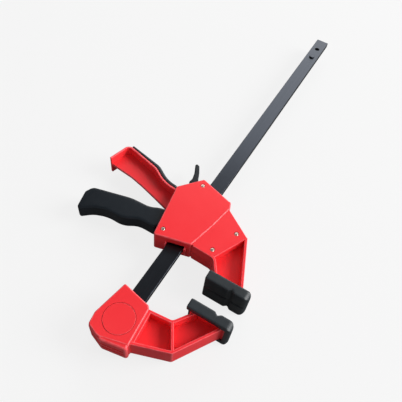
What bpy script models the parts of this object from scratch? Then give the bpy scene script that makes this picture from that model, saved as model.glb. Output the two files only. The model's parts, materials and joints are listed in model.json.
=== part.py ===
"""One-handed bar clamp, lying on its side, as an assembly of separate pieces.

Lengths are millimetres until a mesh is made, and metres from there on. Places are given from the clamp's
own datum: x runs along the bar from the gripping face of the fixed pad, y across the bar towards the
handle, and z up from the bar's middle plane. The empty named clamp then carries everything, so that the
clamp's bottom centre is at the world's origin. Each moving group hangs from an empty on its joint's axis.
"""

from math import atan2, cos, pi, sin, tan

import bmesh
import bpy
from mathutils import Matrix, Vector

MM = 0.001
GAP = 0.3
OVERLAP = 1.0
EDGE_STEPS = 3
ARC_STEPS = 5
SWEEP_STEPS = 9
TIP_STEPS = 8
SHARP_ABOVE = 30 * pi / 180
BORE_STEPS = 24
CAP_STEPS = 48

# The bar, and what is fixed to it
BAR_HALF_WIDTH = 10.0
BAR_HALF_THICKNESS = 3.75
BAR_START = -74.0
BAR_END = 547.0
BAR_CORNER = 1.5
STOP_PIN_X = 493.5
STOP_PIN_RADIUS = 4.0
STOP_PIN_HALF_LENGTH = 6.0
END_HOLE_X = 519.0
END_HOLE_RADIUS = 4.0
JAW_PIN_X = -58.8
JAW_PIN_RADIUS = 4.0
CAP_RADIUS = 17.5
CAP_THICKNESS = 2.0
CAP_CLEARANCE = 0.5
JAW_BACK_X = -87.358
HANDLE_TOP_Y = 140.8

# Half thicknesses of the mouldings, from the middle plane
BODY_HALF = 16.4
HEAD_ARM_HALF = 15.5
JAW_ARM_HALF = 15.0
HANDLE_HALF = 14.5
WEB_HALF = 2.0
FLANGE = 3.3
HEEL_HALF = 15.6
HEEL_EDGE = 2.4
HEEL_GROOVES = (-4.2, 4.2)
HEEL_GROOVE_HALF = 1.3
HEEL_GROOVE_DEPTH = 3.4
HANDLE_WALL = 2.6
SHELL_WALL = 3.0
CAVITY_HALF = BODY_HALF - SHELL_WALL
JAW_PIN_HALF_LENGTH = BODY_HALF - CAP_THICKNESS - 2 * GAP
PARTING = GAP / 2

# How far the edges of each kind of piece are rounded
BODY_EDGE = 1.6
RIB_EDGE = 0.8
CAP_EDGE = 0.4
BAR_EDGE = 0.5
PIN_EDGE = 0.6
PAD_EDGE = 1.6
GRIP_EDGE = 1.6
TRIGGER_EDGE = 2.1
LEVER_EDGE = 0.9

# The pads, which are alike, and the foot at the end of each jaw's arm
OPENING = 27.5
PAD_THICKNESS = 12.5
PAD_INNER_Y = -54.0
PAD_OUTER_Y = -108.5
PAD_HALF = 23.0
NOTCH_Y = -87.0
NOTCH_HALF_WIDTH = 4.0
NOTCH_DEPTH = 3.0
PAD_INNER_CORNER = 1.7
PAD_TIP_CORNERS = (7.0, 5.0)
PAD_TIP_ROUND = 7.5
PAD_GROOVE_HALF_WIDTH = 3.0
PAD_GROOVE_DEPTH = 2.0
PAD_TIP_LIP = 1.5
FOOT_NEAR = 5.5
FOOT_FAR = 9.5
FOOT_INNER_Y = -58.0
FOOT_OUTER_Y = -103.0
FOOT_HALF = 19.0

# The mechanism in the head
TRIGGER_PIVOT = (84.0, -15.0)
TRIGGER_PIN_RADIUS = 3.0
TRIGGER_PIN_HALF_LENGTH = 14.4
TRIGGER_HALF = 10.0
FORK_SLOT = (50.0, 110.0, -30.0, 13.5)
FORK_HALF_SLOT = 4.6
RELEASE_PIVOT = (125.5, -17.0)
BRAKE_TILT = 5.0 * pi / 180
BRAKE_PLATE = 3.0
BRAKE_PLATE_HEIGHT = 39.0
BRAKE_SHOULDER_HEIGHT = 29.0
BRAKE_TONGUE_HALF = 3.5
BRAKE_WINDOW_HALF = 4.1
LEVER_SEAT_HEIGHT = 30.0
DRIVE_PLATE = 2.5
DRIVE_PLATE_X = (90.4, 93.2)
DRIVE_PLATE_Y = (-15.0, 17.0)
GUIDE_X = (60.0, 63.0)
GUIDE_Y = (-15.0, 15.0)
PLATE_HALF_WIDTH = 9.0
LEVER_HALF = 5.0
SPRING_RADIUS = 11.9
SPRING_STEPS = 14
SCREWS = ((141.4, 13.8, BODY_HALF, 3.2), (59.1, 21.5, BODY_HALF, 4.2),
          (101.6, -56.4, HEAD_ARM_HALF, 4.2), (66.9, -42.3, HEAD_ARM_HALF, 4.2))
SCREW_RADIUS = 1.75
SCREW_HEAD_RADIUS = 2.7
SCREW_HEAD_HEIGHT = 1.6
SCREW_END_Z = -11.5

# What stands in the head's cavity and the ways cut through it, as boxes x_low, x_high, y_low, y_high
INNER_WALLS = (("spring_wall", (114.5, 117.5, -25.5, 37.8)), ("rear_wall", (136.5, 139.5, -28.2, 16.5)),
               ("guide_post_high", (63.3, 65.3, 12.0, 18.0)), ("guide_post_low", (63.3, 65.3, -19.0, -12.0)),
               ("guide_shelf", (60.0, 65.3, 15.3, 18.0)))
BAR_WAY_X = (40.0, 160.0)
MOUTH = (40.0, 59.5, -10.9, 10.9)
MOUTH_HALF = 7.2
TRIGGER_WAY_MIDDLE = (55.5, 103.0, 22.5, 35.8)
LEVER_WAY = (130.0, 160.0, 17.4, 45.0)

# Outlines, as corners (x, y, radius)
HEAD_OUTLINE = ((46.9, 27.5, 2.5), (122.1, 41.3, 2.5), (151.6, 17.4, 2.5), (137.9, -29.7, 2),
                (130.1, -32.8, 2), (96.0, -27.0, 0), (58.4, -18.0, 2))
HEAD_CAVITY = ((59.7, -17.0, 0), (59.7, 17.0, 0), (52.5, 19.0, 0), (50.6, 25.0, 0), (120.8, 38.0, 0),
               (148.0, 15.8, 0), (135.0, -27.6, 0), (96.0, -24.6, 0), (72.0, -24.0, 0), (64.0, -17.0, 0))
TRIGGER_WAY = ((55.5, 22.5, 0), (103.0, 31.0, 0), (103.0, 45.0, 0), (55.5, 45.0, 0))
HEAD_ARM_OUTLINE = ((60.0, -15.0, 0), (60.0, -49.7, 0), (103.6, -70.2, 0), (128.5, -32.0, 0),
                    (120.0, -26.0, 0))
HEAD_ARM_CAVITY = ((62.5, -28.0, 2), (123.0, -34.0, 2), (101.5, -65.0, 2), (62.5, -46.0, 2))
NOSE_OUTLINE = ((53.5, 13.2, 0), (47.6, 12.5, 1), (54.3, -13.9, 1), (60.2, -13.2, 0))
NOSE_HALF = 6.2
HEAD_INNER_EDGE = ((58.6, -20.0, 0), (57.6, -48.5, 8), (36.0, -63.2, 0))
HEAD_OUTER_EDGE = ((103.9, -70.6, 0), (36.0, -98.9, 0))
JAW_OUTLINE = ((-22.5, 18.1, 2), (-29.9, -17.6, 2), (-33.4, -20.9, 2), (-77.3, -24.7, 2), (-85.8, 8.0, 14),
               (-80.0, 24.0, 4), (-66.0, 26.2, 4))
HEEL_OUTLINE = ((-72.0, -21.5, 0), (-82.2, -26.6, 3), (-87.6, 4.4, 8), (-80.4, 25.0, 3), (-72.0, 21.0, 0))
HEEL_GROOVE_START = (-82.6, -21.5)
JAW_INNER_EDGE = ((-33.4, -18.0, 0), (-30.3, -48.5, 6), (-8.5, -63.9, 0))
JAW_OUTER_EDGE = ((-76.0, -22.0, 0), (-60.6, -67.0, 4), (-8.5, -100.2, 0))
JAW_ELBOW_RIB = ((-31.8, -49.0), (-58.6, -66.0))
ELBOW_RIB_HALF = 1.5
JAW_ROOT_RIB = ((-34.0, -21.5), (-72.0, -25.0))
ROOT_RIB_WIDTH = 2.6
JAW_LEDGE = ((-30.3, -48.5), (-8.5, -63.9))
LEDGE_WIDTH = 1.6
LEDGE_HALF = 9.5
PALM_EDGE = ((119.8, 36.0, 0), (119.8, 57.0, 50), (134.4, 80.0, 26), (147.3, 132.6, 8), (114.8, 140.8, 0))
FINGER_EDGE = ((114.9, 138.5, 0), (113.8, 128.0, 8), (111.2, 103.7, 60), (106.7, 84.6, 60), (101.2, 65.3, 60),
               (92.3, 36.3, 0))
GRIP_START_Y = 42.2
GRIP_END_Y = 128.0
GRIP_THICKNESS = (5.0, 5.6, 3.6)
TRIGGER_OUTLINE = ((90.0, -15.0, 0), (90.0, 16.0, 2.2), (88.5, 24.0, 4), (89.0, 40.0, 34),
                   (81.0, 55.0, 30), (80.0, 80.8, 60), (66.5, 131.5, 9), (56.0, 136.0, 6),
                   (33.5, 130.5, 2.5), (30.0, 126.0, 2.5), (41.0, 114.0, 34), (47.8, 97.0, 46),
                   (47.6, 73.0, 30), (58.0, 57.0, 28), (58.0, 34.0, 2.2), (65.0, 27.5, 4), (74.0, 12.0, 4),
                   (78.0, -15.0, 0), (79.8, -19.2, 0), (84.0, -21.0, 0), (88.2, -19.2, 0))
TRIGGER_GROOVE = ((76.0, 12.0, 0), (100.0, 12.0, 0), (100.0, 64.0, 0), (70.5, 64.0, 0))
LEVER_OUTLINE = ((118.4, 17.0, 1), (127.5, 17.0, 1), (130.0, 20.0, 2), (147.0, 20.4, 6),
                 (155.0, 27.6, 10), (166.0, 32.2, 12), (175.6, 37.6, 2), (177.6, 42.0, 1.8),
                 (174.6, 43.6, 1.8), (162.0, 37.6, 16), (151.0, 34.6, 12), (145.6, 36.2, 3),
                 (137.0, 29.0, 6), (130.0, 27.5, 4), (118.4, 27.0, 2))


# Outlines and paths

def rounded(corners, closed=True, arc_steps=ARC_STEPS):
    """Points through corners (x, y, radius), each corner turned as an arc of its radius."""
    points = []
    last = len(corners) - 1
    for i, (x, y, radius) in enumerate(corners):
        here = Vector((x, y))
        if radius == 0 or not closed and i in (0, last):
            points.append(here)
            continue
        back = (Vector(corners[i - 1][:2]) - here).normalized()
        ahead = (Vector(corners[(i + 1) % (last + 1)][:2]) - here).normalized()
        half = back.angle(ahead) / 2
        centre = here + (back + ahead).normalized() * radius / sin(half)
        start = here + back * radius / tan(half) - centre
        end = here + ahead * radius / tan(half) - centre
        turn = atan2(start.x * end.y - start.y * end.x, start.dot(end))
        for step in range(arc_steps + 1):
            points.append(centre + Matrix.Rotation(turn * step / arc_steps, 2) @ start)
    return points


def circle(x, y, radius, steps=32):
    angles = [2 * pi * step / steps for step in range(steps)]
    return [Vector((x + radius * cos(a), y + radius * sin(a))) for a in angles]


def box(x_low, x_high, y_low, y_high):
    return [Vector(p) for p in ((x_low, y_low), (x_high, y_low), (x_high, y_high), (x_low, y_high))]


def offset(path, distances):
    """The open path moved to its right-hand side by the distance given for each point."""
    moved = []
    for i, point in enumerate(path):
        before = point - path[max(i - 1, 0)]
        after = path[min(i + 1, len(path) - 1)] - point
        along = (before.normalized() + after.normalized()).normalized()
        moved.append(point + Vector((along.y, -along.x)) * distances[i])
    return moved


def inset(outline, distance):
    """A closed outline moved inwards by a distance, its corners kept sharp."""
    count = len(outline)
    area = sum(outline[i - 1].cross(outline[i]) for i in range(count))
    sense = 1 if area > 0 else -1
    moved = []
    for i, point in enumerate(outline):
        before = (point - outline[i - 1]).normalized()
        after = (outline[(i + 1) % count] - point).normalized()
        inwards = Vector((-before.y - after.y, before.x + after.x)) * sense
        moved.append(point + inwards * distance / (1 + before.dot(after)))
    return moved


def ribbon(path, near, far):
    """The outline of a strip beside an open path, from one distance off its right-hand side to another."""
    count = len(path)
    near = near if isinstance(near, list) else [near] * count
    far = far if isinstance(far, list) else [far] * count
    return offset(path, near) + offset(path, far)[::-1]


# Solids

def make_object(name, mesh, holder, finish=None):
    """An object whose mesh is given from the datum, hung from the empty of its moving group."""
    obj = bpy.data.objects.new(name, mesh)
    bpy.context.scene.collection.objects.link(obj)
    obj.parent = holder
    while holder.parent:
        obj.location -= holder.location
        holder = holder.parent
    if finish:
        obj.data.materials.append(finish)
    return obj


def prism(name, outline, low, high, holder, finish=None, low_edge=0.0, high_edge=0.0):
    """An outline swept along z from low to high, the edges round each end rounded to the radius given."""
    way = 1 if high > low else -1
    low_rim = rim(outline, low, way, low_edge)
    return loft(name, low_rim[::-1] + rim(outline, high, -way, high_edge), holder, finish)


def rim(outline, end, inwards, radius):
    """The (outline, z) pairs of a rounded end, from the full outline to the end face."""
    if radius == 0:
        return [(outline, end)]
    angles = [pi / 2 * step / EDGE_STEPS for step in range(EDGE_STEPS + 1)]
    return [(inset(outline, radius * (1 - cos(a))), end + inwards * radius * (1 - sin(a))) for a in angles]


def plate(name, outline, low, high, holder, finish=None):
    """An outline of (y, z) points swept along x from low to high."""
    return joined(name, [[(x, y, z) for y, z in outline] for x in (low, high)], holder, finish)


def loft(name, levels, holder, finish=None):
    """A solid through outlines of (x, y) points, each at its height: levels are (outline, z) pairs."""
    return joined(name, [[(*point, z) for point in outline] for outline, z in levels], holder, finish)


def turned(name, x, y, profile, holder, finish=None, steps=BORE_STEPS):
    """A round solid about a line along z, from its profile of (radius, z) pairs."""
    return loft(name, [(circle(x, y, radius, steps), z) for radius, z in profile], holder, finish)


def joined(name, rings, holder, finish):
    """A closed solid through rings of as many points each, with a face over the first and the last."""
    shape = bmesh.new()
    loops = [[shape.verts.new(Vector(point) * MM) for point in ring] for ring in rings]
    shape.faces.new(loops[0])
    shape.faces.new(loops[-1])
    for lower, upper in zip(loops, loops[1:]):
        for i in range(len(lower)):
            shape.faces.new((lower[i - 1], lower[i], upper[i], upper[i - 1]))
    bmesh.ops.recalc_face_normals(shape, faces=shape.faces)
    mesh = bpy.data.meshes.new(name)
    shape.to_mesh(mesh)
    shape.free()
    mesh.shade_smooth()
    mesh.set_sharp_from_angle(angle=SHARP_ABOVE)
    return make_object(name, mesh, holder, finish)


def combine(obj, operation, *others):
    """Boolean modifiers on obj, one for each of the others, which become hidden helpers."""
    for other in others:
        modifier = obj.modifiers.new(other.name, "BOOLEAN")
        modifier.operation = operation
        modifier.object = other
        other.hide_render = True
        other.display_type = "WIRE"


def finish_of(name, colour, roughness, metallic=0.0):
    material = bpy.data.materials.new(name)
    material.use_nodes = True
    shader = material.node_tree.nodes["Principled BSDF"]
    shader.inputs["Base Color"].default_value = (*colour, 1.0)
    shader.inputs["Roughness"].default_value = roughness
    shader.inputs["Metallic"].default_value = metallic
    material.diffuse_color = (*colour, 1.0)
    return material


def holder_at(name, x, y, parent):
    empty = bpy.data.objects.new(name, None)
    bpy.context.scene.collection.objects.link(empty)
    empty.parent = parent
    empty.location = (x * MM, y * MM, 0)
    return empty


# The bar and the fixed jaw

def build_bar(holder, steel):
    corners = [(BAR_START, -BAR_HALF_WIDTH, BAR_CORNER), (BAR_END, -BAR_HALF_WIDTH, BAR_CORNER),
               (BAR_END, BAR_HALF_WIDTH, BAR_CORNER), (BAR_START, BAR_HALF_WIDTH, BAR_CORNER)]
    bar = prism("bar", rounded(corners), -BAR_HALF_THICKNESS, BAR_HALF_THICKNESS, holder, steel,
                BAR_EDGE, BAR_EDGE)
    holes = (("stop_pin_hole", STOP_PIN_X, STOP_PIN_RADIUS + GAP), ("end_hole", END_HOLE_X, END_HOLE_RADIUS),
             ("jaw_pin_hole", JAW_PIN_X, JAW_PIN_RADIUS + GAP))
    for name, x, radius in holes:
        drill = prism(name, circle(x, 0, radius), -STOP_PIN_HALF_LENGTH, STOP_PIN_HALF_LENGTH, holder)
        combine(bar, "DIFFERENCE", drill)


def build_pin(name, x, radius, half, holder, steel):
    prism(name, circle(x, 0, radius), -half, half, holder, steel, PIN_EDGE, PIN_EDGE)


def build_jaw_caps(holder, finish):
    low = BODY_HALF - CAP_THICKNESS
    for name, side in (("jaw_cap_front", 1), ("jaw_cap_back", -1)):
        outline = circle(JAW_PIN_X, 0, CAP_RADIUS, CAP_STEPS)
        prism(name, outline, side * low, side * BODY_HALF, holder, finish, high_edge=CAP_EDGE)


def arm_parts(name, inner_edge, outer_edge, low, high, low_edge, web_low, web_high, holder):
    """The two flanges of an arm, and the web between them."""
    inner = rounded(inner_edge, closed=False)
    outer = rounded(outer_edge, closed=False)
    side = 1 if inner_edge[0][0] < 0 else -1
    web = offset(inner, [side * OVERLAP] * len(inner)) + offset(outer, [-side * OVERLAP] * len(outer))[::-1]
    parts = [prism(name + "_web", web, web_low, web_high, holder)]
    for edge, path, far in (("inner", inner, side * FLANGE), ("outer", outer, -side * FLANGE)):
        parts.append(prism(f"{name}_{edge}_flange", ribbon(path, 0, far), low, high, holder,
                           low_edge=low_edge, high_edge=RIB_EDGE))
    return parts


def build_heel(holder):
    """The raised band round the back of the fixed jaw."""
    edge = rounded(HEEL_OUTLINE, closed=False)
    top = []
    for step in range(EDGE_STEPS + 1):
        angle = pi / 2 * step / EDGE_STEPS
        drawn_in = HEEL_EDGE * (1 - cos(angle))
        top.append((offset(edge, [drawn_in] * len(edge)), HEEL_HALF - HEEL_EDGE * (1 - sin(angle))))
    bottom = [(outline, -z) for outline, z in reversed(top)]
    return loft("jaw_heel", bottom + top, holder)


def heel_grooves(holder):
    path = rounded(((*HEEL_GROOVE_START, 0), *HEEL_OUTLINE[2:4]), closed=False)
    outline = ribbon(path, -4 * OVERLAP, HEEL_GROOVE_DEPTH)
    return [prism(f"heel_groove_{i}", outline, z - HEEL_GROOVE_HALF, z + HEEL_GROOVE_HALF, holder)
            for i, z in enumerate(HEEL_GROOVES)]


def build_fixed_jaw(holder, finish):
    jaw = prism("fixed_jaw", rounded(JAW_OUTLINE), -BODY_HALF, BODY_HALF, holder, finish,
                BODY_EDGE, BODY_EDGE)
    parts = arm_parts("jaw", JAW_INNER_EDGE, JAW_OUTER_EDGE, -JAW_ARM_HALF, JAW_ARM_HALF, RIB_EDGE,
                      -WEB_HALF, WEB_HALF, holder)
    rib = ribbon([Vector(end) for end in JAW_ELBOW_RIB], -ELBOW_RIB_HALF, ELBOW_RIB_HALF)
    parts.append(prism("jaw_elbow_rib", rib, -JAW_ARM_HALF, JAW_ARM_HALF, holder,
                       low_edge=RIB_EDGE, high_edge=RIB_EDGE))
    root = ribbon([Vector(end) for end in JAW_ROOT_RIB], -ROOT_RIB_WIDTH, OVERLAP)
    parts.append(prism("jaw_root_rib", root, -JAW_ARM_HALF, JAW_ARM_HALF, holder,
                       low_edge=RIB_EDGE, high_edge=RIB_EDGE))
    ledge = ribbon([Vector(end) for end in JAW_LEDGE], OVERLAP, FLANGE + LEDGE_WIDTH)
    parts.append(prism("jaw_ledge", ledge, -LEDGE_HALF, LEDGE_HALF, holder))
    foot = box(-FOOT_FAR, -FOOT_NEAR, FOOT_OUTER_Y, FOOT_INNER_Y)
    parts.append(prism("jaw_foot", foot, -FOOT_HALF, FOOT_HALF, holder))
    parts.append(build_heel(holder))
    combine(jaw, "UNION", *parts)
    pocket = box(BAR_START - GAP, 0, -BAR_HALF_WIDTH - GAP, BAR_HALF_WIDTH + GAP)
    cuts = [prism("jaw_bar_pocket", pocket, -BAR_HALF_THICKNESS - GAP, BAR_HALF_THICKNESS + GAP, holder),
            turned("jaw_pin_bore", JAW_PIN_X, 0,
                   ((JAW_PIN_RADIUS + GAP, -BODY_HALF), (JAW_PIN_RADIUS + GAP, BODY_HALF)), holder)]
    for name, side in (("cap_recess_front", 1), ("cap_recess_back", -1)):
        low = side * (BODY_HALF - CAP_THICKNESS - GAP)
        outline = circle(JAW_PIN_X, 0, CAP_RADIUS + CAP_CLEARANCE, CAP_STEPS)
        cuts.append(prism(name, outline, low, side * (BODY_HALF + OVERLAP), holder))
    combine(jaw, "DIFFERENCE", *cuts, *heel_grooves(holder))


# The pads

def tip_corner(side):
    """The (y, z) outline of what is outside the round of a pad's tip, at its top or its bottom."""
    y, z = PAD_OUTER_Y + PAD_TIP_ROUND, PAD_HALF - PAD_TIP_ROUND
    angles = [pi / 2 * (1 + step / TIP_STEPS) for step in range(TIP_STEPS + 1)]
    arc = [(y + PAD_TIP_ROUND * cos(a), z + PAD_TIP_ROUND * sin(a)) for a in angles]
    beyond = PAD_HALF + OVERLAP
    outside = [(PAD_OUTER_Y - OVERLAP, z), (PAD_OUTER_Y - OVERLAP, beyond), (y, beyond)]
    return [(y, side * z) for y, z in arc + outside]


def build_pad(name, gripping_x, facing, holder, rubber):
    """A rubber shoe that slides over an arm's foot; facing is 1 where its gripping face looks along +x."""
    def place(depth):
        return gripping_x - facing * depth

    front_tip, back_tip = PAD_TIP_CORNERS
    corners = ((place(0), PAD_INNER_Y, PAD_INNER_CORNER), (place(0), NOTCH_Y + NOTCH_HALF_WIDTH, 0),
               (place(NOTCH_DEPTH), NOTCH_Y, 0), (place(0), NOTCH_Y - NOTCH_HALF_WIDTH, 0),
               (place(0), PAD_OUTER_Y, front_tip), (place(PAD_THICKNESS), PAD_OUTER_Y, back_tip),
               (place(PAD_THICKNESS), PAD_INNER_Y, PAD_INNER_CORNER))
    pad = prism(name, rounded(corners), -PAD_HALF, PAD_HALF, holder, rubber, PAD_EDGE, PAD_EDGE)
    open_y = PAD_INNER_Y + OVERLAP
    seat = box(place(FOOT_NEAR - GAP), place(FOOT_FAR + GAP), FOOT_OUTER_Y - GAP, open_y)
    neck = box(place(FOOT_FAR), place(PAD_THICKNESS + OVERLAP), FOOT_OUTER_Y + PAD_TIP_LIP, open_y)
    neck_half = HEAD_ARM_HALF + 2 * GAP
    section = ((place(-OVERLAP), -PAD_GROOVE_HALF_WIDTH), (place(PAD_GROOVE_DEPTH), 0),
               (place(-OVERLAP), PAD_GROOVE_HALF_WIDTH))
    groove = [[(x, y, z) for x, z in section] for y in (PAD_OUTER_Y - OVERLAP, open_y)]
    cuts = [prism(name + "_foot_seat", seat, -FOOT_HALF - GAP, FOOT_HALF + GAP, holder),
            prism(name + "_neck", neck, -neck_half, neck_half, holder),
            joined(name + "_groove", groove, holder, None)]
    across = place(-OVERLAP), place(PAD_THICKNESS + OVERLAP)
    cuts += [plate(f"{name}_tip_{side}", tip_corner(side), *across, holder) for side in (-1, 1)]
    combine(pad, "DIFFERENCE", *cuts)


# The head's two shells

def shell_walls(tag, side, holder):
    """What is added to a shell's block: arm, handle, foot, bosses and inner ribs."""
    low = side * PARTING
    palm = rounded(PALM_EDGE, closed=False, arc_steps=SWEEP_STEPS)
    finger = rounded(FINGER_EDGE, closed=False)
    web = finger + offset(palm, [-HANDLE_WALL / 2] * len(palm))
    foot = box(OPENING + FOOT_NEAR, OPENING + FOOT_FAR, FOOT_OUTER_Y, FOOT_INNER_Y)
    parts = [prism(tag + "_arm", rounded(HEAD_ARM_OUTLINE), low, side * HEAD_ARM_HALF, holder,
                   high_edge=RIB_EDGE)]
    parts += arm_parts(tag, HEAD_INNER_EDGE, HEAD_OUTER_EDGE, low, side * HEAD_ARM_HALF, 0,
                       low, side * WEB_HALF, holder)
    parts += [prism(tag + "_handle_web", web, low, side * WEB_HALF, holder, high_edge=RIB_EDGE),
              prism(tag + "_palm_wall", ribbon(palm, -HANDLE_WALL, 0), low, side * HANDLE_HALF, holder,
                    high_edge=RIB_EDGE),
              prism(tag + "_foot", foot, low, side * FOOT_HALF, holder),
              prism(tag + "_nose", rounded(NOSE_OUTLINE), low, side * NOSE_HALF, holder, high_edge=RIB_EDGE)]
    return parts


def shell_inside(tag, side, holder):
    """What stands in a shell's cavity: screw bosses, pivot boss, spring walls and guide posts."""
    low, high = side * PARTING, side * (CAVITY_HALF + OVERLAP)
    parts = []
    for i, (x, y, _, radius) in enumerate(SCREWS, 1):
        parts.append(prism(f"{tag}_screw_boss_{i}", circle(x, y, radius, BORE_STEPS), low, high, holder))
    pivot_boss = circle(*TRIGGER_PIVOT, 2 * TRIGGER_PIN_RADIUS, BORE_STEPS)
    parts.append(prism(tag + "_pivot_boss", pivot_boss, side * (TRIGGER_HALF + GAP), high, holder))
    for name, limits in INNER_WALLS:
        parts.append(prism(f"{tag}_{name}", box(*limits), low, high, holder))
    return parts


def shell_cuts(tag, side, holder):
    """What is cut from both shells last: the bar's way through, and the openings for trigger and lever."""
    bar_way = box(*BAR_WAY_X, -BAR_HALF_WIDTH - 2 * GAP, BAR_HALF_WIDTH + 2 * GAP)
    pin_socket = circle(*TRIGGER_PIVOT, TRIGGER_PIN_RADIUS + GAP, BORE_STEPS)
    below = -side * OVERLAP
    cuts = (("bar_way", bar_way, below, BAR_HALF_THICKNESS + 1.2 * GAP),
            ("mouth", box(*MOUTH), below, MOUTH_HALF),
            ("trigger_way", rounded(TRIGGER_WAY), side * WEB_HALF, TRIGGER_HALF + 2 * GAP),
            ("trigger_way_middle", box(*TRIGGER_WAY_MIDDLE), below, 2 * WEB_HALF),
            ("lever_way", box(*LEVER_WAY), below, LEVER_HALF + 2 * GAP),
            ("pin_socket", pin_socket, below, TRIGGER_PIN_HALF_LENGTH + GAP))
    return [prism(f"{tag}_{name}", outline, low, side * high, holder) for name, outline, low, high in cuts]


def screw_holes(tag, side, holder):
    holes = []
    for i, (x, y, face, _) in enumerate(SCREWS, 1):
        radius = SCREW_RADIUS + GAP
        if side > 0:
            seat = face - SCREW_HEAD_HEIGHT - 2 * GAP
            wide = SCREW_HEAD_RADIUS + GAP
            profile = ((radius, -OVERLAP), (radius, seat), (wide, seat), (wide, face + OVERLAP))
        else:
            profile = ((radius, SCREW_END_Z - 2 * GAP), (radius, OVERLAP))
        holes.append(turned(f"{tag}_screw_hole_{i}", x, y, profile, holder))
    return holes


def build_shell(name, tag, side, holder, finish):
    low = side * PARTING
    shell = prism(name, rounded(HEAD_OUTLINE), low, side * BODY_HALF, holder, finish, high_edge=BODY_EDGE)
    combine(shell, "UNION", *shell_walls(tag, side, holder))
    cavity = prism(tag + "_cavity", rounded(HEAD_CAVITY), -side * OVERLAP, side * CAVITY_HALF, holder)
    arm_depth = side * (HEAD_ARM_HALF - SHELL_WALL)
    arm_cavity = prism(tag + "_arm_cavity", rounded(HEAD_ARM_CAVITY), -side * OVERLAP, arm_depth, holder)
    combine(shell, "DIFFERENCE", cavity, arm_cavity)
    combine(shell, "UNION", *shell_inside(tag, side, holder))
    combine(shell, "DIFFERENCE", *shell_cuts(tag, side, holder), *screw_holes(tag, side, holder))


def build_screws(holder, steel):
    for i, (x, y, face, _) in enumerate(SCREWS, 1):
        seat = face - SCREW_HEAD_HEIGHT - GAP
        profile = ((SCREW_RADIUS, SCREW_END_Z), (SCREW_RADIUS, seat), (SCREW_HEAD_RADIUS, seat),
                   (SCREW_HEAD_RADIUS, face - GAP))
        turned(f"shell_screw_{i}", x, y, profile, holder, steel)


def build_palm_grip(holder, rubber):
    palm = rounded(PALM_EDGE[:4], closed=False, arc_steps=SWEEP_STEPS)
    palm[-1] = palm[-2].lerp(palm[-1], (GRIP_END_Y - palm[-2].y) / (palm[-1].y - palm[-2].y))
    palm[0].y = GRIP_START_Y
    root, bulge, end = GRIP_THICKNESS
    middle = PALM_EDGE[2][1]
    thickness = []
    for point in palm:
        share = (point.y - GRIP_START_Y) / (middle - GRIP_START_Y)
        beyond = (point.y - middle) / (GRIP_END_Y - middle)
        thickness.append(root + (bulge - root) * share if share < 1 else bulge + (end - bulge) * beyond)
    half = HANDLE_HALF - GAP
    prism("palm_grip", ribbon(palm, GAP, thickness), -half, half, holder, rubber, GRIP_EDGE, GRIP_EDGE)


# The mechanism

def windowed_plate(name, x_low, x_high, y_low, y_high, holder, steel):
    """A flat plate across the bar, with the window that the bar runs through."""
    body = plate(name, box(y_low, y_high, -PLATE_HALF_WIDTH, PLATE_HALF_WIDTH), x_low, x_high, holder, steel)
    y_window, z_window = BAR_HALF_WIDTH + GAP, BAR_HALF_THICKNESS + GAP
    opening = plate(name + "_window", box(-y_window, y_window, -z_window, z_window), x_low - OVERLAP,
                    x_high + OVERLAP, holder)
    combine(body, "DIFFERENCE", opening)


def build_guide(holder, steel):
    windowed_plate("bar_guide", *GUIDE_X, *GUIDE_Y, holder, steel)


def build_drive_plates(holder, steel):
    for i, x in enumerate(DRIVE_PLATE_X, 1):
        windowed_plate(f"drive_plate_{i}", x, x + DRIVE_PLATE, *DRIVE_PLATE_Y, holder, steel)


def build_brake_plate(holder, steel):
    """The brake plate leans over the bar: its foot is on the joint's axis, its top nearer the jaws."""
    half = BRAKE_PLATE / 2
    bar_y = -RELEASE_PIVOT[1]
    reach = BAR_HALF_WIDTH + 3 * GAP
    outline = box(0, BRAKE_PLATE_HEIGHT, -PLATE_HALF_WIDTH, PLATE_HALF_WIDTH)
    body = plate("brake_plate", outline, -half, half, holder, steel)
    cuts = [("window", box(bar_y - reach, bar_y + reach, -BRAKE_WINDOW_HALF, BRAKE_WINDOW_HALF))]
    for side, low, high in (("front", BRAKE_TONGUE_HALF, PLATE_HALF_WIDTH + OVERLAP),
                            ("back", -PLATE_HALF_WIDTH - OVERLAP, -BRAKE_TONGUE_HALF)):
        cuts.append((side + "_shoulder", box(BRAKE_SHOULDER_HEIGHT, BRAKE_PLATE_HEIGHT + OVERLAP, low, high)))
    for name, outline in cuts:
        cut = plate("brake_plate_" + name, outline, -half - OVERLAP, half + OVERLAP, holder)
        lean(cut)
        combine(body, "DIFFERENCE", cut)
    lean(body)


def lean(obj):
    """Turns an object, modelled upright about the joint's axis, to the brake plate's rest angle."""
    obj.location = (0, 0, 0)
    obj.rotation_euler.z = BRAKE_TILT


def build_release_lever(holder, finish):
    lever = prism("release_lever", rounded(LEVER_OUTLINE), -LEVER_HALF, LEVER_HALF, holder, finish,
                  LEVER_EDGE, LEVER_EDGE)
    half = BRAKE_PLATE / 2 + GAP
    tongue = BRAKE_TONGUE_HALF + GAP
    outline = box(LEVER_SEAT_HEIGHT, BRAKE_PLATE_HEIGHT + GAP, -tongue, tongue)
    seat = plate("lever_plate_seat", outline, -half, half, holder)
    lean(seat)
    combine(lever, "DIFFERENCE", seat)


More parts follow.
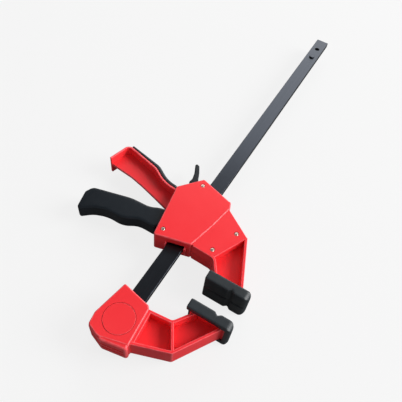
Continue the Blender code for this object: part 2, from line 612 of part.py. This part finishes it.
def build_trigger(holder, finish):
    outline = rounded(TRIGGER_OUTLINE, arc_steps=SWEEP_STEPS)
    trigger = prism("trigger", outline, -TRIGGER_HALF, TRIGGER_HALF, holder, finish,
                    TRIGGER_EDGE, TRIGGER_EDGE)
    bore = circle(*TRIGGER_PIVOT, TRIGGER_PIN_RADIUS + GAP, BORE_STEPS)
    cuts = [prism("trigger_fork_slot", box(*FORK_SLOT), -FORK_HALF_SLOT, FORK_HALF_SLOT, holder),
            prism("trigger_groove", rounded(TRIGGER_GROOVE), -WEB_HALF - 2 * GAP, WEB_HALF + 2 * GAP, holder),
            prism("trigger_bore", bore, -TRIGGER_HALF - OVERLAP, TRIGGER_HALF + OVERLAP, holder)]
    combine(trigger, "DIFFERENCE", *cuts)


def build_trigger_pin(holder, steel):
    profile = ((TRIGGER_PIN_RADIUS, -TRIGGER_PIN_HALF_LENGTH), (TRIGGER_PIN_RADIUS, TRIGGER_PIN_HALF_LENGTH))
    turned("trigger_pin", *TRIGGER_PIVOT, profile, holder, steel)


def build_spring(name, x_low, x_high, wire_radius, turns, holder, steel):
    """A compression spring coiled round the bar, as a round wire along a helix."""
    curve = bpy.data.curves.new(name, "CURVE")
    curve.dimensions = "3D"
    curve.bevel_depth = wire_radius * MM
    curve.bevel_resolution = 2
    curve.use_fill_caps = True
    count = turns * SPRING_STEPS
    spline = curve.splines.new("POLY")
    spline.points.add(count)
    for i, point in enumerate(spline.points):
        angle = 2 * pi * i / SPRING_STEPS
        x = x_low + wire_radius + (x_high - x_low - 2 * wire_radius) * i / count
        point.co = (x * MM, SPRING_RADIUS * cos(angle) * MM, SPRING_RADIUS * sin(angle) * MM, 1)
    make_object(name, curve, holder, steel)


def main():
    for obj in list(bpy.data.objects):
        bpy.data.objects.remove(obj)

    red = finish_of("red_nylon", (0.85, 0.03, 0.04), 0.42)
    black = finish_of("black_nylon", (0.02, 0.025, 0.03), 0.5)
    rubber = finish_of("black_rubber", (0.025, 0.03, 0.035), 0.75)
    bar_steel = finish_of("blackened_steel", (0.1, 0.1, 0.11), 0.4, 0.9)
    plated = finish_of("plated_steel", (0.6, 0.58, 0.54), 0.3, 1.0)

    centre_x, centre_y = (JAW_BACK_X + BAR_END) / 2, (PAD_OUTER_Y + HANDLE_TOP_Y) / 2
    clamp = holder_at("clamp", -centre_x, -centre_y, None)
    clamp.location.z = PAD_HALF * MM
    head = holder_at("head_slide_axis", 0, 0, clamp)
    drive = holder_at("drive_slide_axis", 0, 0, head)
    trigger = holder_at("trigger_axis", *TRIGGER_PIVOT, head)
    release = holder_at("release_axis", *RELEASE_PIVOT, head)

    build_bar(clamp, bar_steel)
    build_pin("stop_pin", STOP_PIN_X, STOP_PIN_RADIUS, STOP_PIN_HALF_LENGTH, clamp, bar_steel)
    build_pin("jaw_pin", JAW_PIN_X, JAW_PIN_RADIUS, JAW_PIN_HALF_LENGTH, clamp, plated)
    build_jaw_caps(clamp, red)
    build_fixed_jaw(clamp, red)
    build_pad("fixed_pad", 0, 1, clamp, rubber)

    build_shell("head_front_shell", "front", 1, head, red)
    build_shell("head_back_shell", "back", -1, head, red)
    build_screws(head, plated)
    build_palm_grip(head, rubber)
    build_pad("moving_pad", OPENING, -1, head, rubber)
    build_guide(head, plated)
    build_trigger_pin(head, plated)
    build_spring("drive_spring", 96.2, 114.1, 0.8, 5, head, plated)
    build_spring("brake_spring", 127.2, 136.2, 0.7, 3, head, plated)
    build_drive_plates(drive, plated)
    build_trigger(trigger, black)
    build_brake_plate(release, plated)
    build_release_lever(release, black)


main()
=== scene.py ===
"""The looks of the bar clamp: its mouldings, screw heads, springs, materials, studio and camera.

Places are given from the clamp's own datum, as in the CAD: x along the bar from the fixed pad's
gripping face, y across the bar towards the handle, and z up from the bar's middle plane.
"""

import json
from math import cos, pi, radians, sin

import bmesh
import bpy
from mathutils import Matrix, Vector

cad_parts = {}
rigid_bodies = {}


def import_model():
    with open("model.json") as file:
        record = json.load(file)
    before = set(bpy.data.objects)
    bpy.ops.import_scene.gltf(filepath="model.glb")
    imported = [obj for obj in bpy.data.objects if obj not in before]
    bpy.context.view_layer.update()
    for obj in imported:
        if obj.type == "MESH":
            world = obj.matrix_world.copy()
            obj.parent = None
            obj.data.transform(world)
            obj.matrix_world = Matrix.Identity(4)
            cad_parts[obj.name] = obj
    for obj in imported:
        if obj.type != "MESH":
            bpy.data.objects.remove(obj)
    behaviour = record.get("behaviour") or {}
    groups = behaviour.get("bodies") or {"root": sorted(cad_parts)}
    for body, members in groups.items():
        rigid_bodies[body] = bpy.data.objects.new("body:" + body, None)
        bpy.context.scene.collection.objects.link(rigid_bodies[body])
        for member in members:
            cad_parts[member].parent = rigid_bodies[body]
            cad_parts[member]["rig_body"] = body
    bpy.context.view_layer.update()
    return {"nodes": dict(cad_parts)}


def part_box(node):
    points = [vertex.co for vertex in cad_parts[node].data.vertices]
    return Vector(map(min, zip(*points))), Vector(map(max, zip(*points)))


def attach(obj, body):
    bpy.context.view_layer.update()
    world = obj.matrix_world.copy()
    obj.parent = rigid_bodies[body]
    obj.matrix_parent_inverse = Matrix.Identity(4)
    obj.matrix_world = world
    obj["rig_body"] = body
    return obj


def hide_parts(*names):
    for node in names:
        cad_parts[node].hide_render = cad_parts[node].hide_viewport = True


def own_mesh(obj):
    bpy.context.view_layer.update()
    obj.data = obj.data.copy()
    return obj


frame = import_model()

MM = 0.001
NODES = frame["nodes"]

BAR_LENGTH_PAST_DATUM = 547 * MM
BAR_LOW, BAR_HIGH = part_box("bar")
DATUM = Vector((BAR_HIGH.x - BAR_LENGTH_PAST_DATUM,
                (BAR_LOW.y + BAR_HIGH.y) / 2,
                (BAR_LOW.z + BAR_HIGH.z) / 2))

# The camera, from the datum
CAMERA_AT = Vector((-186.7, -127.6, 486.3)) * MM
CAMERA_LOOK = Vector((0.53119, 0.22790, -0.81603))
CAMERA_UP = Vector((0.68319, 0.45442, 0.57163))
CAMERA_LENS = 40.99
CAMERA_CLIP = 0.01

# The studio, in metres. The floor glows more for the camera than it does on the clamp
FLOOR_SIZE = 12.0
FLOOR_COLOUR = (0.10, 0.10, 0.10)
FLOOR_GLOW = 0.815
FLOOR_GLOW_ON_CLAMP = 0.06
# The room's light from walls to ceiling, and the rise of the line of sight where the ceiling starts
WALL_GLOW = 0.62
CEILING_GLOW = 0.14
CEILING_RISE = 0.9
# Each softbox: its name, its direction, and its distance, size and radiance
SOFTBOXES = (
    ("key", (0.37, -0.73, 0.58), 4.6, 2.4, 11.2),
    ("window", (0.86, 0.17, 0.50), 2.6, 2.0, 2.7),
    ("side", (0.22, -0.96, 0.16), 3.0, 1.9, 3.6),
)


# Node materials

# Where most of a noise's values lie, and the part of that which is spread out to make clouds
NOISE_SPAN = (0.3, 0.7)
CLOUD_SPAN = (0.35, 0.7)
# The mesh attribute that tells a rounded outer edge from a flat face
RIM = "rim"


class Shading:
    """A Principled material and the few kinds of node that the finishes here share."""

    def __init__(self, name, metallic=0.0):
        self.material = bpy.data.materials.new(name)
        self.material.use_nodes = True
        self.tree = self.material.node_tree
        self.shader = self.tree.nodes["Principled BSDF"]
        self.set("Metallic", metallic)
        coordinates = self.tree.nodes.new("ShaderNodeTexCoord")
        self.place = coordinates.outputs["Object"]

    def set(self, socket, value):
        """A value that is the same all over the surface."""
        self.shader.inputs[socket].default_value = value

    def link(self, output, socket):
        self.tree.links.new(output, socket)

    def colour(self, output):
        self.link(output, self.shader.inputs["Base Color"])

    def roughness(self, pattern, low, high):
        """Roughness from low to high, as a noise rises and falls."""
        varied = self.ramp(pattern, *NOISE_SPAN, low, high)
        self.link(varied, self.shader.inputs["Roughness"])

    def noise(self, scale, detail, stretch=(1, 1, 1)):
        """Noise over the object; stretch scales each axis, so a small number draws it out."""
        mapping = self.tree.nodes.new("ShaderNodeMapping")
        mapping.inputs["Scale"].default_value = stretch
        self.link(self.place, mapping.inputs["Vector"])
        noise = self.tree.nodes.new("ShaderNodeTexNoise")
        noise.inputs["Scale"].default_value = scale
        noise.inputs["Detail"].default_value = detail
        self.link(mapping.outputs["Vector"], noise.inputs["Vector"])
        return noise.outputs["Fac"]

    def rims(self):
        """0 on flat faces and 1 on the rounded outer edges, where a paler colour is painted as
        highlight and wear.
        """
        attribute = self.tree.nodes.new("ShaderNodeAttribute")
        attribute.attribute_name = RIM
        return attribute.outputs["Fac"]

    def ramp(self, value, low, high, to_low, to_high):
        """A value's way from low to high, spread over to_low to to_high and held there beyond."""
        node = self.tree.nodes.new("ShaderNodeMapRange")
        sockets = {"From Min": low, "From Max": high, "To Min": to_low, "To Max": to_high}
        for socket, number in sockets.items():
            node.inputs[socket].default_value = number
        self.link(value, node.inputs["Value"])
        return node.outputs["Result"]

    def times(self, first, second):
        node = self.tree.nodes.new("ShaderNodeMath")
        node.operation = "MULTIPLY"
        self.link(first, node.inputs[0])
        self.link(second, node.inputs[1])
        return node.outputs[0]

    def mix(self, factor, first, second):
        """The colour between two: each is a colour, or another mix's output."""
        node = self.tree.nodes.new("ShaderNodeMix")
        node.data_type = "RGBA"
        self.link(factor, node.inputs["Factor"])
        for socket, colour in ((node.inputs[6], first), (node.inputs[7], second)):
            if isinstance(colour, tuple):
                socket.default_value = (*colour, 1.0)
            else:
                self.link(colour, socket)
        return node.outputs[2]

    def bump(self, *layers):
        """Bumps on bumps, each from a height output and its depth in millimetres."""
        normal = None
        for height, depth in layers:
            node = self.tree.nodes.new("ShaderNodeBump")
            node.inputs["Strength"].default_value = 1.0
            node.inputs["Distance"].default_value = depth * MM
            self.link(height, node.inputs["Height"])
            if normal:
                self.link(normal, node.inputs["Normal"])
            normal = node.outputs["Normal"]
        self.link(normal, self.shader.inputs["Normal"])


def red_nylon():
    """Glass-filled nylon from a polished tool: satin, with a faint grain, and edges painted paler
    as highlight and wear.
    """
    base = (0.95, 0.040, 0.048)
    deep = (0.89, 0.028, 0.038)
    highlight_and_wear = (1.0, 0.16, 0.18)
    look = Shading("red_nylon")
    cloud = look.ramp(look.noise(14, 3), *CLOUD_SPAN, 0.0, 0.6)
    patches = look.ramp(look.noise(180, 5), 0.35, 0.65, 0.35, 0.8)
    # The rounded edges are painted paler in patches: a painted highlight along the rims, and wear.
    highlight_and_wear_mask = look.times(look.rims(), patches)
    look.colour(look.mix(highlight_and_wear_mask, look.mix(cloud, base, deep), highlight_and_wear))
    look.roughness(look.noise(60, 4), 0.30, 0.38)
    look.bump((look.noise(1800, 2), 0.006), (look.noise(30, 1), 0.01))
    look.set("Specular IOR Level", 0.3)
    return look.material


def black_nylon():
    """The trigger and the lever: dark nylon with a fine spark-eroded grain."""
    base = (0.006, 0.009, 0.013)
    dusty = (0.010, 0.014, 0.019)
    look = Shading("black_nylon")
    cloud = look.ramp(look.noise(12, 3), *CLOUD_SPAN, 0.0, 1.0)
    look.colour(look.mix(cloud, base, dusty))
    look.roughness(look.noise(120, 4), 0.30, 0.38)
    look.bump((look.noise(1600, 3), 0.02), (look.noise(60, 2), 0.01))
    look.set("Specular IOR Level", 0.3)
    return look.material


def black_rubber():
    """The pads and the palm grip: duller rubber with a coarser grain, a little dusty in clouds."""
    base = (0.006, 0.011, 0.015)
    dusty = (0.011, 0.018, 0.024)
    look = Shading("black_rubber")
    cloud = look.ramp(look.noise(16, 3), *CLOUD_SPAN, 0.0, 1.0)
    look.colour(look.mix(cloud, base, dusty))
    look.roughness(look.noise(140, 4), 0.45, 0.53)
    look.bump((look.noise(1300, 4), 0.02), (look.noise(90, 2), 0.01))
    look.set("Specular IOR Level", 0.6)
    return look.material


def blackened_steel():
    """The bar and its stop pin: rolled steel, blackened, with faint draw lines along the bar."""
    base = (0.041, 0.046, 0.056)
    pale = (0.054, 0.060, 0.072)
    look = Shading("blackened_steel", metallic=0.95)
    lines = look.noise(700, 4, stretch=(0.02, 1, 1))
    blotches = look.noise(30, 4, stretch=(0.4, 1, 1))
    both = look.times(look.ramp(lines, *NOISE_SPAN, 0.4, 1.0),
                      look.ramp(blotches, *NOISE_SPAN, 0.2, 1.0))
    look.colour(look.mix(both, base, pale))
    look.roughness(blotches, 0.26, 0.34)
    look.bump((lines, 0.006), (look.noise(900, 3), 0.003))
    return look.material


def plated_steel():
    """Screws, pins, springs and plates: zinc-plated steel with a warm passivation."""
    base = (0.74, 0.60, 0.54)
    warm = (0.78, 0.60, 0.50)
    look = Shading("plated_steel", metallic=1.0)
    cloud = look.ramp(look.noise(300, 4), *NOISE_SPAN, 0.0, 1.0)
    look.colour(look.mix(cloud, base, warm))
    look.roughness(look.noise(600, 3), 0.26, 0.42)
    look.bump((look.noise(1800, 3), 0.01))
    return look.material


MATERIALS = {
    "red_nylon": red_nylon(),
    "black_nylon": black_nylon(),
    "black_rubber": black_rubber(),
    "blackened_steel": blackened_steel(),
    "plated_steel": plated_steel(),
}


# Skins: pieces with the shape of a CAD node, shaded so that flats stay flat and rounds look round

# The nodes that keep their exact shape, by finish
FINISHES = {
    "red_nylon": ("fixed_jaw", "head_front_shell", "head_back_shell",
                  "jaw_cap_front", "jaw_cap_back"),
    "blackened_steel": ("bar", "stop_pin"),
    "plated_steel": ("jaw_pin", "trigger_pin", "bar_guide",
                     "drive_plate_1", "drive_plate_2", "brake_plate"),
}
# Each softened node: its finish, its grid and how many times it is smoothed
SOFT_PIECES = {
    "trigger": ("black_nylon", 0.8 * MM, 12),
    "palm_grip": ("black_rubber", 0.7 * MM, 8),
    "fixed_pad": ("black_rubber", 0.6 * MM, 3),
    "moving_pad": ("black_rubber", 0.6 * MM, 3),
    "release_lever": ("black_nylon", 0.5 * MM, 5),
}
SMOOTHING = 0.5

WELD = 0.002 * MM
FLAT_WITHIN = radians(1.5)
SMOOTH_BELOW = radians(50)
# Where flats meet, each counts by its area, over the largest one's, to this power
AREA_POWER = 2
RIM_WIDTH = 1.3 * MM
RIM_CONVEX_SHARE = 0.7


class Region:
    """Faces that lie in one plane and touch each other."""

    def __init__(self, faces):
        self.faces = set(faces)
        self.area = sum(face.calc_area() for face in faces)
        total = sum((face.normal * face.calc_area() for face in faces), Vector())
        self.normal = total.normalized()

    def is_rim(self):
        """True for a narrow strip that turns outwards, as a rounded edge is made of."""
        border = [edge for face in self.faces for edge in face.edges
                  if not set(edge.link_faces) <= self.faces]
        length = sum(edge.calc_length() for edge in border)
        convex = sum(edge.calc_length() for edge in border if edge.is_convex)
        return 2 * self.area < RIM_WIDTH * length and convex > RIM_CONVEX_SHARE * length


def regions_of(shape):
    """The region of each face."""
    region_of = {}
    for first in shape.faces:
        if first in region_of:
            continue
        faces = [first]
        region_of[first] = None
        for face in faces:
            beside = {other for edge in face.edges for other in edge.link_faces
                      if other not in region_of}
            for other in beside:
                if face.normal.angle(other.normal, 0) < FLAT_WITHIN:
                    region_of[other] = None
                    faces.append(other)
        region = Region(faces)
        for face in faces:
            region_of[face] = region
    return region_of


def corner_normal(loop, region_of):
    """The mean of the flats that meet smoothly at a face's corner, the larger counting for more."""
    faces = [loop.face]
    for face in faces:
        for edge in face.edges:
            if loop.vert in edge.verts and edge.calc_face_angle(0) < SMOOTH_BELOW:
                faces += [other for other in edge.link_faces if other not in faces]
    regions = {region_of[face] for face in faces}
    largest = max(region.area for region in regions)
    weighted = (region.normal * (region.area / largest) ** AREA_POWER for region in regions)
    return sum(weighted, Vector()).normalized()


def add_piece(piece_name, node_name, mesh, finish):
    """Shows a mesh in place of a CAD node, on the node's body."""
    mesh.materials.append(MATERIALS[finish])
    piece = bpy.data.objects.new(piece_name, mesh)
    bpy.context.scene.collection.objects.link(piece)
    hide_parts(node_name)
    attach(piece, NODES[node_name]["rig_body"])
    return piece


def add_skin(name, finish):
    """A piece with a CAD node's shape, its own corner normals and the rim attribute."""
    shape = bmesh.new()
    shape.from_mesh(NODES[name].data)
    bmesh.ops.remove_doubles(shape, verts=shape.verts, dist=WELD)
    bmesh.ops.dissolve_degenerate(shape, edges=shape.edges, dist=WELD)
    shape.normal_update()
    region_of = regions_of(shape)
    rim_of = {region: float(region.is_rim()) for region in set(region_of.values())}
    loops = [loop for face in shape.faces for loop in face.loops]
    normals = [corner_normal(loop, region_of) for loop in loops]
    rims = [rim_of[region_of[loop.face]] for loop in loops]
    mesh = bpy.data.meshes.new(name + "_skin")
    shape.to_mesh(mesh)
    shape.free()
    mesh.shade_smooth()
    mesh.normals_split_custom_set(normals)
    mesh.attributes.new(RIM, "FLOAT", "CORNER").data.foreach_set("value", rims)
    add_piece(name + "_skin", name, mesh, finish)


def add_soft_skin(name, finish, grid, passes):
    """A piece with a CAD node's shape, its edges and hollows softened as in a moulding."""
    form = bpy.data.objects.new(name + "_form", NODES[name].data.copy())
    bpy.context.scene.collection.objects.link(form)
    remesh = form.modifiers.new("remesh", "REMESH")
    remesh.mode = "VOXEL"
    remesh.voxel_size = grid
    smooth = form.modifiers.new("smooth", "SMOOTH")
    smooth.factor = SMOOTHING
    smooth.iterations = passes
    graph = bpy.context.evaluated_depsgraph_get()
    mesh = bpy.data.meshes.new_from_object(form.evaluated_get(graph))
    bpy.data.objects.remove(form)
    mesh.name = name + "_skin"
    mesh.materials.clear()
    mesh.shade_smooth()
    add_piece(name + "_skin", name, mesh, finish)


def build_skins():
    for finish, names in FINISHES.items():
        for name in names:
            add_skin(name, finish)
    for name, softness in SOFT_PIECES.items():
        add_soft_skin(name, *softness)


# The screws and the springs, made finer than the CAD's, in millimetres

SHARP_ABOVE = radians(40)

SCREWS = 4
SCREW_STEPS = 48
# Radii, from the point up
SCREW_POINT = 0.9
SCREW_SHANK = 1.75
SCREW_HEAD = 2.7
SCREW_CROWN = 2.35
SCREW_FLAT = 0.8 * SCREW_CROWN
# Heights: the point's, the head's, and how far the head's edge and crown lie below its flat
SCREW_POINT_HEIGHT = 2.0
SCREW_HEAD_HEIGHT = 1.6
SCREW_EDGE_DROP = 0.5
SCREW_CROWN_DROP = 0.1
# The turn from one screw's recess to the next one's, in radians
SCREW_TURN = 0.9
# The cross recess: its hub, and how far its arms reach beyond that, for a recess of size 1
RECESS_HUB = 0.42
RECESS_ARM = 1.05
RECESS_ARM_POWER = 5
# Its size at the mouth and at the floor, and its depth
RECESS_MOUTH = 1.0
RECESS_FLOOR = 0.6
RECESS_DEPTH = 1.0

# Steps round each turn of a spring, and round its wire
SPRING_STEPS = 36
WIRE_STEPS = 10
SPRING_RADIUS = 11.9
# Each spring: its two ends along the bar, its wire's radius and its turns
SPRINGS = {"drive_spring": (96.2, 114.1, 0.8, 5), "brake_spring": (127.2, 136.2, 0.7, 3)}


def add_turned(name, rings):
    """A plated piece in place of a CAD node: a closed mesh through rings of as many points each."""
    shape = bmesh.new()
    loops = [[shape.verts.new(point) for point in ring] for ring in rings]
    for lower, upper in zip(loops, loops[1:]):
        for i in range(len(lower)):
            shape.faces.new((lower[i - 1], lower[i], upper[i], upper[i - 1]))
    shape.faces.new(loops[0])
    shape.faces.new(loops[-1])
    bmesh.ops.recalc_face_normals(shape, faces=shape.faces)
    mesh = bpy.data.meshes.new(name + "_fine")
    shape.to_mesh(mesh)
    shape.free()
    mesh.shade_smooth()
    mesh.set_sharp_from_angle(angle=SHARP_ABOVE)
    return add_piece(name + "_fine", name, mesh, "plated_steel")


def build_screw(number):
    """A cross-recessed screw: each recess is turned differently, as tightened screws are left."""
    name = f"shell_screw_{number}"
    low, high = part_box(name)
    centre = (low + high) / 2
    turn = SCREW_TURN * number

    def ring(radius, z, recess=False):
        points = []
        for step in range(SCREW_STEPS):
            angle = 2 * pi * step / SCREW_STEPS
            reach = radius
            if recess:
                arm = RECESS_ARM * abs(cos(2 * angle)) ** RECESS_ARM_POWER
                reach = radius * (RECESS_HUB + arm)
            place = Vector((reach * cos(angle + turn), reach * sin(angle + turn), 0)) * MM
            points.append(Vector((centre.x, centre.y, z)) + place)
        return points

    top = high.z
    seat = top - SCREW_HEAD_HEIGHT * MM
    add_turned(name, [
        ring(SCREW_POINT, low.z),
        ring(SCREW_SHANK, low.z + SCREW_POINT_HEIGHT * MM),
        ring(SCREW_SHANK, seat),
        ring(SCREW_HEAD, seat),
        ring(SCREW_HEAD, top - SCREW_EDGE_DROP * MM),
        ring(SCREW_CROWN, top - SCREW_CROWN_DROP * MM),
        ring(SCREW_FLAT, top),
        ring(RECESS_MOUTH, top, recess=True),
        ring(RECESS_FLOOR, top - RECESS_DEPTH * MM, recess=True),
    ])


def build_spring(name, x_low, x_high, wire, turns):
    """A compression spring round the bar: a wire of the radius given, along a helix."""
    count = turns * SPRING_STEPS
    round_wire = [2 * pi * step / WIRE_STEPS for step in range(WIRE_STEPS)]
    rings = []
    for i in range(count + 1):
        angle = 2 * pi * i / SPRING_STEPS
        x = x_low + wire + (x_high - x_low - 2 * wire) * i / count
        out = Vector((0, cos(angle), sin(angle)))
        middle = DATUM + (Vector((x, 0, 0)) + out * SPRING_RADIUS) * MM
        rings.append([middle + (Vector((cos(a), 0, 0)) + out * sin(a)) * wire * MM
                      for a in round_wire])
    return add_turned(name, rings)


def build_springs():
    """Both springs; the drive spring is given a mesh of its own."""
    for name, (x_low, x_high, wire, turns) in SPRINGS.items():
        spring = build_spring(name, x_low, x_high, wire, turns)
        if name == "drive_spring":
            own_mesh(spring)


# The studio and the camera

def build_floor():
    """A pale glowing table top, as under a product photograph, so that shadows on it stay faint."""
    look = Shading("floor")
    look.set("Base Color", (*FLOOR_COLOUR, 1.0))
    look.roughness(look.noise(2.0, 2), 0.86, 0.94)
    look.set("Specular IOR Level", 0.0)
    look.set("Emission Color", (1, 1, 1, 1))
    path = look.tree.nodes.new("ShaderNodeLightPath")
    seen = path.outputs["Is Camera Ray"]
    glow = look.ramp(seen, 0.0, 1.0, FLOOR_GLOW_ON_CLAMP, FLOOR_GLOW)
    look.link(glow, look.shader.inputs["Emission Strength"])
    bpy.ops.mesh.primitive_plane_add(size=FLOOR_SIZE)
    floor = bpy.context.object
    floor.name = "floor"
    floor.data.materials.append(look.material)


def add_softbox(name, direction, distance, size, radiance):
    """A square area light that faces the clamp and stays out of the picture itself."""
    light = bpy.data.lights.new(name, "AREA")
    light.size = size
    light.energy = radiance * pi * size * size
    holder = bpy.data.objects.new(name, light)
    bpy.context.scene.collection.objects.link(holder)
    place = Vector(direction).normalized() * distance
    holder.location = place
    holder.rotation_mode = "QUATERNION"
    holder.rotation_quaternion = place.to_track_quat("Z", "Y")
    holder.visible_camera = False


def build_sky():
    """The room's own light: pale walls that darken towards the ceiling."""
    world = bpy.data.worlds.new("studio")
    world.use_nodes = True
    tree = world.node_tree
    place = tree.nodes.new("ShaderNodeTexCoord")
    parts = tree.nodes.new("ShaderNodeSeparateXYZ")
    fade = tree.nodes.new("ShaderNodeMapRange")
    span = {"From Min": 0.0, "From Max": CEILING_RISE, "To Min": WALL_GLOW, "To Max": CEILING_GLOW}
    for socket, number in span.items():
        fade.inputs[socket].default_value = number
    tree.links.new(place.outputs["Generated"], parts.inputs["Vector"])
    tree.links.new(parts.outputs["Z"], fade.inputs["Value"])
    background = tree.nodes["Background"]
    background.inputs["Color"].default_value = (1, 1, 1, 1)
    tree.links.new(fade.outputs["Result"], background.inputs["Strength"])
    bpy.context.scene.world = world


def build_camera():
    right = CAMERA_LOOK.cross(CAMERA_UP)
    turn = Matrix((right, CAMERA_UP, -CAMERA_LOOK)).transposed()
    data = bpy.data.cameras.new("camera")
    data.lens = CAMERA_LENS
    data.clip_start = CAMERA_CLIP
    camera = bpy.data.objects.new("camera", data)
    camera.rotation_mode = "QUATERNION"
    camera.rotation_quaternion = turn.to_quaternion()
    camera.location = DATUM + CAMERA_AT
    bpy.context.scene.collection.objects.link(camera)
    bpy.context.scene.camera = camera


build_skins()
for screw in range(1, SCREWS + 1):
    build_screw(screw)
build_springs()
build_floor()
build_sky()
for softbox in SOFTBOXES:
    add_softbox(*softbox)
build_camera()
bpy.context.scene.view_settings.view_transform = "Standard"
